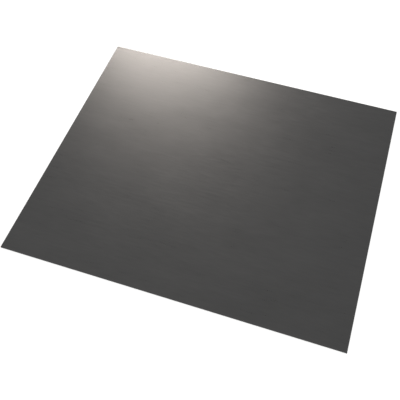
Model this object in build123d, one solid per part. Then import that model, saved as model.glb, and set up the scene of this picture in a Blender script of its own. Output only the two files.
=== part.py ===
from build123d import *
import os

# A plate of mild steel: one rolled piece, sheared to size on all four sides and lying flat.
# Each side shows the three zones of a shear cut. From the upper face down they are a small rollover, where
# the blade drew the face over the edge, an upright burnished land, and a torn zone that leans back to the
# lower face by the clearance between the blades. The corners stay square, because two straight cuts meet there.
# The origin is the centre of the lower face, with +X along the rolling direction and +Z up.

# Driving dimensions, in millimetres
length = 700.0
width = 600.0
thickness = 2.0

# Zones of the sheared edge: the radius of the rollover, the height of the land and the lean of the torn zone
rollover = 0.16
land = 0.68
blade_clearance = 0.12

# The rest of the thickness, below the land, tore away
torn_zone = thickness - rollover - land


def sheared_plate():
    """The plate at its full size, with the zones of the shear cut on its four sides."""
    with BuildPart() as plate:
        Box(length, width, thickness, align=(Align.CENTER, Align.CENTER, Align.MIN))
        lower_face = plate.faces().sort_by(Axis.Z)[0]
        chamfer(lower_face.edges(), length=blade_clearance, length2=torn_zone, reference=lower_face)
        upper_face = plate.faces().sort_by(Axis.Z)[-1]
        fillet(upper_face.edges(), radius=rollover)
    return plate.part


steel_plate = sheared_plate()
steel_plate.label = "steel_plate"

os.makedirs("parts", exist_ok=True)
export_step(steel_plate, "parts/steel_plate.step")
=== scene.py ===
"""A sheared plate of rolled steel, with its cut sides modelled and its faces finished, in a pale studio."""

import logging
import math
from collections.abc import Callable
from dataclasses import dataclass, replace
from enum import Enum

import bmesh
import bpy
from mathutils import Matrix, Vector


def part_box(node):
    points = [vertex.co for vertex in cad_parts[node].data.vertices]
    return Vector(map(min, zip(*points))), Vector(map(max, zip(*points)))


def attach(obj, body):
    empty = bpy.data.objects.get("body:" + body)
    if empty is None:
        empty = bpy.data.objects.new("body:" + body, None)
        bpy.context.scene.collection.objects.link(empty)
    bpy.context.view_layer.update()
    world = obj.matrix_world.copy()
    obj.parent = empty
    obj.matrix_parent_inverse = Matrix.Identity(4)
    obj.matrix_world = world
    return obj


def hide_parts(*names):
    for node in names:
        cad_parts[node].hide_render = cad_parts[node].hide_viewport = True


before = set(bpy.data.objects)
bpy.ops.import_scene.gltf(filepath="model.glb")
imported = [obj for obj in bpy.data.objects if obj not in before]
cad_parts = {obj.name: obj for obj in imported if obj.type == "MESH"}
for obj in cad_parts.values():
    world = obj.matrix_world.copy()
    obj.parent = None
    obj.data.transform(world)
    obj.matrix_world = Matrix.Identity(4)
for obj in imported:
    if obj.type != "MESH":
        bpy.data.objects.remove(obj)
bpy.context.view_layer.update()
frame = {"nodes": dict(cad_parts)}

log = logging.getLogger("sheared_plate")

MILLIMETRE = 0.001
QUARTER_TURN = math.radians(90.0)
ORIGIN = (0.0, 0.0, 0.0)
NOISE_MEAN = 0.5
CAD_NODE = "steel_plate"
CAD_BODY = "root"
BAKE_MAP = "OFBake"

Triple = tuple[float, float, float]
Colour = tuple[float, float, float, float]
Fill = float | tuple[float, ...] | bpy.types.NodeSocket
MeshItem = bmesh.types.BMVert | bmesh.types.BMEdge | bmesh.types.BMFace


class Element(Enum):
    """The kinds of mesh element that are picked in edit mode."""

    VERTEX = "VERT"
    EDGE = "EDGE"
    FACE = "FACE"


class Zone(Enum):
    """The plate's finishes, in the order of its material slots."""

    ROLLED = 0
    LAND = 1
    TORN = 2


class Side(Enum):
    """The plate's cut sides, in the order of their strips."""

    LEFT = 0
    RIGHT = 1
    NEAR = 2
    FAR = 3


class Course(Enum):
    """The ways that an unevenness moves points."""

    UPRIGHT = "Z"
    OUTWARD = "NORMAL"


class Graph:
    """A shader's node tree, wired one step at a time."""

    def __init__(self, tree: bpy.types.NodeTree) -> None:
        """Start from an empty tree."""
        self.tree = tree
        tree.nodes.clear()

    def add(self, kind: str, inputs: dict[str | int, Fill], **options: str) -> bpy.types.Node:
        """Add one node, set its options, and fill or link its sockets.

        Args:
            kind: The node's type, without the words that all shader nodes share.
            inputs: By socket name or number, a plain value or the socket that feeds it.
            options: The node's own settings.

        Returns:
            The new node.
        """
        node = self.tree.nodes.new("ShaderNode" + kind)
        for name, value in options.items():
            setattr(node, name, value)
        for name, value in inputs.items():
            if isinstance(value, bpy.types.NodeSocket):
                self.tree.links.new(value, node.inputs[name])
            else:
                node.inputs[name].default_value = value
        return node

    def math(self, operation: str, *values: Fill) -> bpy.types.NodeSocket:
        """Work out a number from values or sockets, by the sum that the Math node has under this name."""
        return self.add("Math", dict(enumerate(values)), operation=operation).outputs[0]

    def noise(self, size: Triple, detail: float) -> bpy.types.NodeSocket:
        """Draw a noise whose spots have a given size along each axis of the piece.

        Args:
            size: The spots' size along X, Y and Z, in millimetres.
            detail: How many finer layers are added.

        Returns:
            The socket of the noise, less its mean, so that it swings about zero.
        """
        place = self.add("TexCoord", {}).outputs["Object"]
        scale = tuple(1.0 / (side * MILLIMETRE) for side in size)
        stretched = self.add("Mapping", {"Vector": place, "Scale": scale}).outputs[0]
        drawn = self.add("TexNoise", {"Vector": stretched, "Scale": 1.0, "Detail": detail})
        return self.math("SUBTRACT", drawn.outputs[0], NOISE_MEAN)


@dataclass(frozen=True)
class Grain:
    """One kind of mark on the steel: its size, and how far it changes the tone, roughness and height.

    The size is in millimetres along X, Y and Z. The tone is a share of the colour, the roughness a step of
    roughness and the height a share of the finish's relief, each over the whole range of the noise.
    """

    size: Triple
    detail: float
    tone: float
    roughness: float
    height: float


@dataclass(frozen=True)
class SteelFinish:
    """Bare steel as one of the plate's surfaces shows it. The relief is in millimetres."""

    name: str
    colour: Triple
    roughness: float
    relief: float
    grains: tuple[Grain, ...]

    def material(self) -> bpy.types.Material:
        """Make the material, with its tone, roughness and relief drawn by the grains.

        Returns:
            The new material.
        """
        made = bpy.data.materials.new(self.name)
        made.use_nodes = True
        graph = Graph(made.node_tree)
        tone: Fill = 1.0
        roughness: Fill = self.roughness
        height: Fill = 0.0
        for grain in self.grains:
            noise = graph.noise(grain.size, grain.detail)
            tone = graph.math("MULTIPLY_ADD", noise, grain.tone, tone)
            roughness = graph.math("MULTIPLY_ADD", noise, grain.roughness, roughness)
            height = graph.math("MULTIPLY_ADD", noise, grain.height, height)
        colour = graph.add("VectorMath", {0: self.colour, "Scale": tone}, operation="SCALE")
        bump = graph.add("Bump", {"Strength": 1.0, "Distance": self.relief * MILLIMETRE, "Height": height})
        steel = graph.add("BsdfPrincipled", {
            "Base Color": colour.outputs[0],
            "Metallic": 1.0,
            "Roughness": roughness,
            "Normal": bump.outputs[0],
        })
        graph.add("OutputMaterial", {"Surface": steel.outputs[0]})
        return made


ROLLED_FACE = SteelFinish(
    name="rolled_face",
    colour=(0.105, 0.105, 0.105),
    roughness=0.297,
    relief=0.055,
    grains=(
        # Clouds of the thin oil film
        Grain(size=(130.0, 80.0, 1.0), detail=3.0, tone=0.14, roughness=0.03, height=0.0),
        # Bands from the rolls, along the whole plate
        Grain(size=(900.0, 22.0, 1.0), detail=2.0, tone=0.04, roughness=0.02, height=0.0),
        # Shallow streaks along the rolling direction
        Grain(size=(35.0, 5.0, 1.0), detail=2.0, tone=0.10, roughness=0.06, height=1.0),
        # Fine hairlines along the rolling direction
        Grain(size=(35.0, 0.5, 1.0), detail=2.0, tone=0.10, roughness=0.03, height=0.145),
        # Specks of the matt skin
        Grain(size=(1.6, 1.6, 1.0), detail=2.0, tone=0.08, roughness=0.04, height=0.073),
    ),
)
BURNISHED_LAND = SteelFinish(
    name="burnished_land",
    colour=(0.19, 0.19, 0.188),
    roughness=0.28,
    relief=0.02,
    grains=(
        # Upright drag marks of the blade
        Grain(size=(0.8, 0.8, 6.0), detail=2.0, tone=0.40, roughness=0.10, height=1.0),
        # Finer drag marks between them
        Grain(size=(0.25, 0.25, 3.0), detail=2.0, tone=0.20, roughness=0.05, height=0.4),
        # Duller and brighter stretches of the cut
        Grain(size=(40.0, 40.0, 40.0), detail=2.0, tone=0.25, roughness=0.08, height=0.0),
    ),
)
TORN_STEEL = SteelFinish(
    name="torn_steel",
    colour=(0.118, 0.117, 0.115),
    roughness=0.52,
    relief=0.2,
    grains=(
        # Torn facets
        Grain(size=(0.9, 0.9, 0.5), detail=3.0, tone=0.60, roughness=0.20, height=1.0),
        # Crystals in the facets
        Grain(size=(0.3, 0.3, 0.25), detail=2.0, tone=0.50, roughness=0.10, height=0.4),
        # Duller and brighter stretches of the tear
        Grain(size=(30.0, 30.0, 30.0), detail=2.0, tone=0.20, roughness=0.08, height=0.0),
    ),
)
FINISHES = {Zone.ROLLED: ROLLED_FACE, Zone.LAND: BURNISHED_LAND, Zone.TORN: TORN_STEEL}


def select(piece: bpy.types.Object, element: Element, wanted: Callable[[MeshItem], bool]) -> None:
    """Select elements of a mesh in edit mode, and nothing else.

    Args:
        piece: The object being edited.
        element: The kind of element to select.
        wanted: Says of one element whether it is selected.
    """
    bpy.ops.mesh.select_mode(type=element.value)
    bpy.ops.mesh.select_all(action="DESELECT")
    mesh = bmesh.from_edit_mesh(piece.data)
    kinds = {Element.VERTEX: mesh.verts, Element.EDGE: mesh.edges, Element.FACE: mesh.faces}
    for item in kinds[element]:
        if wanted(item):
            item.select_set(True)
    bmesh.update_edit_mesh(piece.data)


def heading(azimuth: float, elevation: float) -> Vector:
    """Point away from the plate, turned from its front towards its right, and risen from the floor."""
    level = math.cos(elevation)
    return Vector((math.sin(azimuth) * level, -math.cos(azimuth) * level, math.sin(elevation)))


@dataclass
class SheetLayout:
    """Where the plate's surfaces lie on the unit square that their finish is laid out on.

    The upper face stands beside the lower one, above a long strip for each cut side.
    """

    gap: float = 0.004
    strip_height: float = 0.014
    upper_share: float = 0.62

    def face(self, is_upper: bool, along: float, across: float) -> tuple[float, float]:
        """Place a point of one of the two faces.

        Args:
            is_upper: Whether the point is on the upper face.
            along: Where it lies along the plate's length, as a share.
            across: Where it lies across the plate's width, as a share.

        Returns:
            The point's place on the square.
        """
        low = self.gap + len(Side) * (self.strip_height + self.gap)
        high = 1.0 - self.gap
        # One gap stands between the two faces and one on either side of them
        faces_width = 1.0 - 3 * self.gap
        divide = self.gap + self.upper_share * faces_width
        left, right = (self.gap, divide) if is_upper else (divide + self.gap, high)
        return left + (right - left) * along, low + (high - low) * across

    def strip(self, side: Side, along: float, height: float) -> tuple[float, float]:
        """Place a point of a cut side, by its shares of the side's length and height."""
        low = self.gap + side.value * (self.strip_height + self.gap)
        return self.gap + (1.0 - 2 * self.gap) * along, low + self.strip_height * height


@dataclass
class ShearedPlate:
    """The plate: two rolled faces, and four cut sides with the rollover, land and torn zone of a shear.

    The rim is the last flat strip of the upper face, and the cells are those of the faces' grids. Each cell
    at the border has several columns of the cut side, so that the torn zone can be uneven.
    """

    length: float
    width: float
    thickness: float
    rollover: float = 0.16 * MILLIMETRE
    land: float = 0.68 * MILLIMETRE
    blade_clearance: float = 0.12 * MILLIMETRE
    rim: float = 0.4 * MILLIMETRE
    cell: float = 20.0 * MILLIMETRE
    columns_per_cell: int = 16
    rollover_rows: int = 4
    land_rows: int = 2
    torn_rows: int = 5
    land_line_swing: float = 0.22 * MILLIMETRE
    land_line_wave: float = 4.0 * MILLIMETRE
    torn_depth: float = 0.07 * MILLIMETRE
    torn_wave: float = 1.6 * MILLIMETRE
    smooth_angle: float = math.radians(35.0)
    flat_angle: float = math.radians(9.0)
    merge_gap: float = 0.005 * MILLIMETRE

    @property
    def land_top(self) -> float:
        """The height where the rollover ends and the land begins."""
        return self.thickness - self.rollover

    @property
    def land_line(self) -> float:
        """The height where the land ends and the torn zone begins."""
        return self.land_top - self.land

    @property
    def upper_inset(self) -> float:
        """How far the upper face's grid stays inside the plate's outline."""
        return self.rollover + self.rim

    def section(self) -> list[tuple[float, float]]:
        """Work out the section of a cut side.

        Returns:
            The inset and height of each row, from the edge of the flat upper face down.
        """
        rows = [(self.rollover, self.thickness)]
        for step in range(1, self.rollover_rows + 1):
            turn = QUARTER_TURN * step / self.rollover_rows
            inset = self.rollover * (1.0 - math.sin(turn))
            rows.append((inset, self.land_top + self.rollover * math.cos(turn)))
        for step in range(1, self.land_rows + 1):
            rows.append((0.0, self.land_top - self.land * step / self.land_rows))
        for step in range(1, self.torn_rows + 1):
            share = step / self.torn_rows
            rows.append((self.blade_clearance * share, self.land_line * (1.0 - share)))
        return rows

    def build(self) -> bpy.types.Object:
        """Model the plate.

        Returns:
            The plate, at the origin, with its place in its mesh.
        """
        plate = self.add_upper_face()
        bpy.ops.object.mode_set(mode="EDIT")
        self.copy_lower_face()
        self.draw_sides(plate)
        self.tear_sides(plate)
        bpy.ops.object.shade_smooth_by_angle(angle=self.smooth_angle)
        return plate

    def add_upper_face(self) -> bpy.types.Object:
        """Add a grid for the upper face, at its height, and bring it to the plate's width.

        Returns:
            The new object, with its place in its mesh.
        """
        length = self.length - 2 * self.upper_inset
        width = self.width - 2 * self.upper_inset
        bpy.ops.object.select_all(action="DESELECT")
        bpy.ops.mesh.primitive_grid_add(
            x_subdivisions=round(self.length / self.cell),
            y_subdivisions=round(self.width / self.cell),
            size=length,
            calc_uvs=False,
            location=(0.0, 0.0, self.thickness),
        )
        bpy.ops.transform.resize(value=(1.0, width / length, 1.0), center_override=ORIGIN)
        bpy.ops.object.transform_apply(location=True, rotation=True, scale=True)
        plate = bpy.context.active_object
        plate.name = "sheared_plate"
        plate.data.name = plate.name
        return plate

    def move_outline(self, from_inset: float, to_inset: float, rise: float) -> None:
        """Move what is selected from one inset of the plate's outline to another.

        Args:
            from_inset: The inset that it has.
            to_inset: The inset that it gets.
            rise: How far it is lifted.
        """
        stretch_x = (self.length - 2 * to_inset) / (self.length - 2 * from_inset)
        stretch_y = (self.width - 2 * to_inset) / (self.width - 2 * from_inset)
        bpy.ops.transform.resize(value=(stretch_x, stretch_y, 1.0), center_override=ORIGIN)
        bpy.ops.transform.translate(value=(0.0, 0.0, rise))

    def copy_lower_face(self) -> None:
        """Copy the upper face's grid down to the lower face, which looks the other way."""
        bpy.ops.mesh.select_all(action="SELECT")
        bpy.ops.mesh.duplicate()
        bpy.ops.mesh.flip_normals()
        self.move_outline(self.upper_inset, self.blade_clearance, -self.thickness)

    def draw_sides(self, plate: bpy.types.Object) -> None:
        """Draw the cut sides down from the upper face, row by row, and close them on the lower face.

        Args:
            plate: The object being edited, with its two faces.
        """
        select(plate, Element.EDGE, lambda edge: edge.is_boundary)
        bpy.ops.mesh.subdivide(number_cuts=self.columns_per_cell - 1, ngon=False, quadcorner="FAN")
        middle = self.thickness / 2
        select(plate, Element.EDGE, lambda edge: edge.is_boundary and edge.verts[0].co.z > middle)
        last_inset, last_height = self.upper_inset, self.thickness
        for inset, height in self.section():
            bpy.ops.mesh.extrude_edges_move()
            self.move_outline(last_inset, inset, height - last_height)
            last_inset, last_height = inset, height
        bpy.ops.mesh.select_all(action="SELECT")
        bpy.ops.mesh.remove_doubles(threshold=self.merge_gap)
        bpy.ops.mesh.normals_make_consistent(inside=False)

    def tear_sides(self, plate: bpy.types.Object) -> None:
        """Make the line between land and torn zone uneven, and the torn zone rough.

        Args:
            plate: The object being edited, which leaves edit mode here.
        """
        near = self.merge_gap
        line = self.land_line
        select(plate, Element.EDGE, lambda edge: all(abs(end.co.z - line) < near for end in edge.verts))
        bpy.ops.mesh.mark_sharp()
        self.name_points(plate, "land_line", lambda point: abs(point.co.z - line) < near)
        self.name_points(plate, "torn_zone", lambda point: near < point.co.z < line - near)
        bpy.ops.object.mode_set(mode="OBJECT")
        self.sway(plate, "land_line", Course.UPRIGHT, self.land_line_swing, self.land_line_wave)
        self.sway(plate, "torn_zone", Course.OUTWARD, self.torn_depth, self.torn_wave)

    def name_points(self, plate: bpy.types.Object, name: str, wanted: Callable[[MeshItem], bool]) -> None:
        """Gather points of the mesh in a named group.

        Args:
            plate: The object being edited.
            name: The group's name.
            wanted: Says of one point whether it belongs.
        """
        select(plate, Element.VERTEX, wanted)
        bpy.ops.object.vertex_group_assign_new()
        plate.vertex_groups.active.name = name

    def sway(self, plate: bpy.types.Object, group: str, course: Course, swing: float, wave: float) -> None:
        """Move a group of points to and fro by a noise.

        Args:
            plate: The object, out of edit mode.
            group: The name of the points' group.
            course: The way that the points move.
            swing: How far the noise's whole range moves a point.
            wave: The size of the noise's spots.
        """
        unevenness = bpy.data.textures.new(group, type="CLOUDS")
        unevenness.noise_scale = wave
        bpy.ops.object.modifier_add(type="DISPLACE")
        modifier = plate.modifiers[-1]
        modifier.texture = unevenness
        modifier.texture_coords = "LOCAL"
        modifier.vertex_group = group
        modifier.direction = course.value
        modifier.strength = swing
        bpy.ops.object.modifier_apply(modifier=modifier.name)

    def lay_out(self, plate: bpy.types.Object) -> None:
        """Lay the surfaces out flat, with the faces side by side and the cut sides as strips.

        Args:
            plate: The modelled plate.
        """
        layout = SheetLayout()
        mesh = plate.data
        spots = mesh.uv_layers.new(name=BAKE_MAP).data
        for face in mesh.polygons:
            tilt = face.normal
            for corner in face.loop_indices:
                place = mesh.vertices[mesh.loops[corner].vertex_index].co
                along = (place.x + self.length / 2) / self.length
                across = (place.y + self.width / 2) / self.width
                height = place.z / self.thickness
                if abs(tilt.z) > math.cos(self.flat_angle):
                    spots[corner].uv = layout.face(tilt.z > 0, along, across)
                elif abs(tilt.x) > abs(tilt.y):
                    spots[corner].uv = layout.strip(Side.RIGHT if tilt.x > 0 else Side.LEFT, across, height)
                else:
                    spots[corner].uv = layout.strip(Side.FAR if tilt.y > 0 else Side.NEAR, along, height)

    def dress(self, plate: bpy.types.Object) -> None:
        """Give the faces and each zone of the cut sides their finish.

        Args:
            plate: The modelled plate.
        """
        for zone in Zone:
            plate.data.materials.append(FINISHES[zone].material())
        heights = {Zone.LAND: (self.land_line, self.land_top), Zone.TORN: (0.0, self.land_line)}
        bpy.ops.object.mode_set(mode="EDIT")
        for zone, (low, high) in heights.items():
            select(plate, Element.FACE, lambda face: low < face.calc_center_median().z < high)
            plate.active_material_index = zone.value
            bpy.ops.object.material_slot_assign()
        bpy.ops.object.mode_set(mode="OBJECT")

    def join_frame(self, plate: bpy.types.Object) -> None:
        """Let the plate stand for its solid and ride on the solid's body.

        Args:
            plate: The finished plate.
        """
        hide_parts(CAD_NODE)
        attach(plate, CAD_BODY)


@dataclass(frozen=True)
class SoftLamp:
    """A soft lamp: where it hangs as the plate sees it, its size and its light."""

    name: str
    azimuth: float
    elevation: float
    width: float
    height: float
    power: float
    colour: Triple
    distance: float = 5.0

    def hang(self) -> None:
        """Hang the lamp, turned towards the plate and out of the camera's sight."""
        towards = heading(self.azimuth, self.elevation)
        bpy.ops.object.light_add(
            type="AREA",
            location=towards * self.distance,
            rotation=towards.to_track_quat("Z", "Y").to_euler(),
        )
        lamp = bpy.context.active_object
        lamp.name = self.name
        lamp.visible_camera = False
        lamp.data.shape = "RECTANGLE"
        lamp.data.size = self.width
        lamp.data.size_y = self.height
        lamp.data.energy = self.power
        lamp.data.color = self.colour


MAIN_LAMP = SoftLamp(
    name="far_left_lamp",
    azimuth=math.radians(203.8),
    elevation=math.radians(34.4),
    width=1.43,
    height=1.0,
    power=83.4,
    colour=(1.0, 0.913, 0.843),
)
RIGHT_LAMP = SoftLamp(
    name="right_lamp",
    azimuth=math.radians(68.0),
    elevation=math.radians(31.0),
    width=1.4,
    height=1.0,
    power=32.0,
    colour=(1.0, 0.95, 0.91),
)
NEAR_LEFT_LAMP = replace(
    RIGHT_LAMP,
    name="near_left_lamp",
    azimuth=math.radians(326.0),
    elevation=math.radians(36.0),
)


@dataclass
class Studio:
    """A pale studio: a white floor, a room that is white low down and duller overhead, and soft lamps."""

    floor_radius: float = 8.0
    floor_corners: int = 96
    floor_colour: Colour = (0.5, 0.5, 0.5, 1.0)
    floor_glow: float = 0.68
    white: Colour = (1.0, 1.0, 1.0, 1.0)
    white_below: float = math.radians(16.0)
    dull_above: float = math.radians(36.0)
    dull_level: float = 0.54
    lamps: tuple[SoftLamp, ...] = (MAIN_LAMP, RIGHT_LAMP, NEAR_LEFT_LAMP)

    def build(self) -> None:
        """Lay the floor, light the room and hang the lamps."""
        self.lay_floor()
        self.light_room()
        for lamp in self.lamps:
            lamp.hang()

    def lay_floor(self) -> None:
        """Lay a round white floor that glows to the eye and still takes the plate's shadow."""
        bpy.ops.object.select_all(action="DESELECT")
        bpy.ops.mesh.primitive_circle_add(
            vertices=self.floor_corners, radius=self.floor_radius, fill_type="NGON"
        )
        floor = bpy.context.active_object
        floor.name = "floor"
        floor.data.materials.append(self.floor_material())

    def floor_material(self) -> bpy.types.Material:
        """Make the floor's material.

        Returns:
            A matt white, with a glow that only the camera, reflections and clear things see.
        """
        made = bpy.data.materials.new("white_floor")
        made.use_nodes = True
        graph = Graph(made.node_tree)
        path = graph.add("LightPath", {}).outputs
        seen = graph.math("MAXIMUM", path["Is Camera Ray"], path["Is Glossy Ray"])
        seen = graph.math("MAXIMUM", seen, path["Is Transmission Ray"])
        strength = graph.math("MULTIPLY", seen, self.floor_glow)
        paint = graph.add("BsdfDiffuse", {"Color": self.floor_colour})
        glow = graph.add("Emission", {"Color": self.white, "Strength": strength})
        both = graph.add("AddShader", {0: paint.outputs[0], 1: glow.outputs[0]})
        graph.add("OutputMaterial", {"Surface": both.outputs[0]})
        return made

    def light_room(self) -> None:
        """Light the room white round the horizon and duller overhead, alike for every ray."""
        room = bpy.data.worlds.new("pale_room")
        room.use_nodes = True
        bpy.context.scene.world = room
        graph = Graph(room.node_tree)
        direction = graph.add("TexCoord", {}).outputs["Generated"]
        height = graph.add("SeparateXYZ", {0: direction}).outputs["Z"]
        level = graph.add("MapRange", {
            "Value": height,
            "From Min": math.sin(self.white_below),
            "From Max": math.sin(self.dull_above),
            "To Min": 1.0,
            "To Max": self.dull_level,
        }, interpolation_type="SMOOTHSTEP")
        light = graph.add("Background", {"Color": self.white, "Strength": level.outputs[0]})
        graph.add("OutputWorld", {"Surface": light.outputs[0]})


@dataclass
class Viewpoint:
    """The camera, looking down on the plate from in front and a little to the right."""

    azimuth: float = math.radians(17.991)
    elevation: float = math.radians(57.37)
    distance: float = 1.2428
    aim: Triple = (0.01903, -0.06158, 0.0)
    lens: float = 53.22
    sensor: float = 36.0
    shift: float = -0.03254

    def build(self) -> None:
        """Place the camera and look through it."""
        back = heading(self.azimuth, self.elevation)
        bpy.ops.object.camera_add(
            location=Vector(self.aim) + back * self.distance,
            rotation=back.to_track_quat("Z", "Y").to_euler(),
        )
        camera = bpy.context.active_object
        camera.name = "viewpoint"
        camera.data.lens = self.lens
        camera.data.sensor_width = self.sensor
        camera.data.shift_x = self.shift
        bpy.context.scene.camera = camera


def main() -> None:
    """Build the viewpoint, the studio and the plate in order, and report each."""
    logging.basicConfig(level=logging.INFO, format="%(message)s")
    log.info("frame: %s", ", ".join(frame["nodes"]))
    bpy.context.scene.view_settings.view_transform = "Standard"
    Viewpoint().build()
    log.info("viewpoint: camera placed")
    Studio().build()
    log.info("studio: floor, room and lamps in place")
    low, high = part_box(CAD_NODE)
    size = high - low
    sheared = ShearedPlate(length=size.x, width=size.y, thickness=size.z)
    plate = sheared.build()
    sheared.lay_out(plate)
    sheared.dress(plate)
    sheared.join_frame(plate)
    log.info("%s: %d faces, %d finishes", plate.name, len(plate.data.polygons), len(plate.material_slots))


if __name__ == "__main__":
    main()
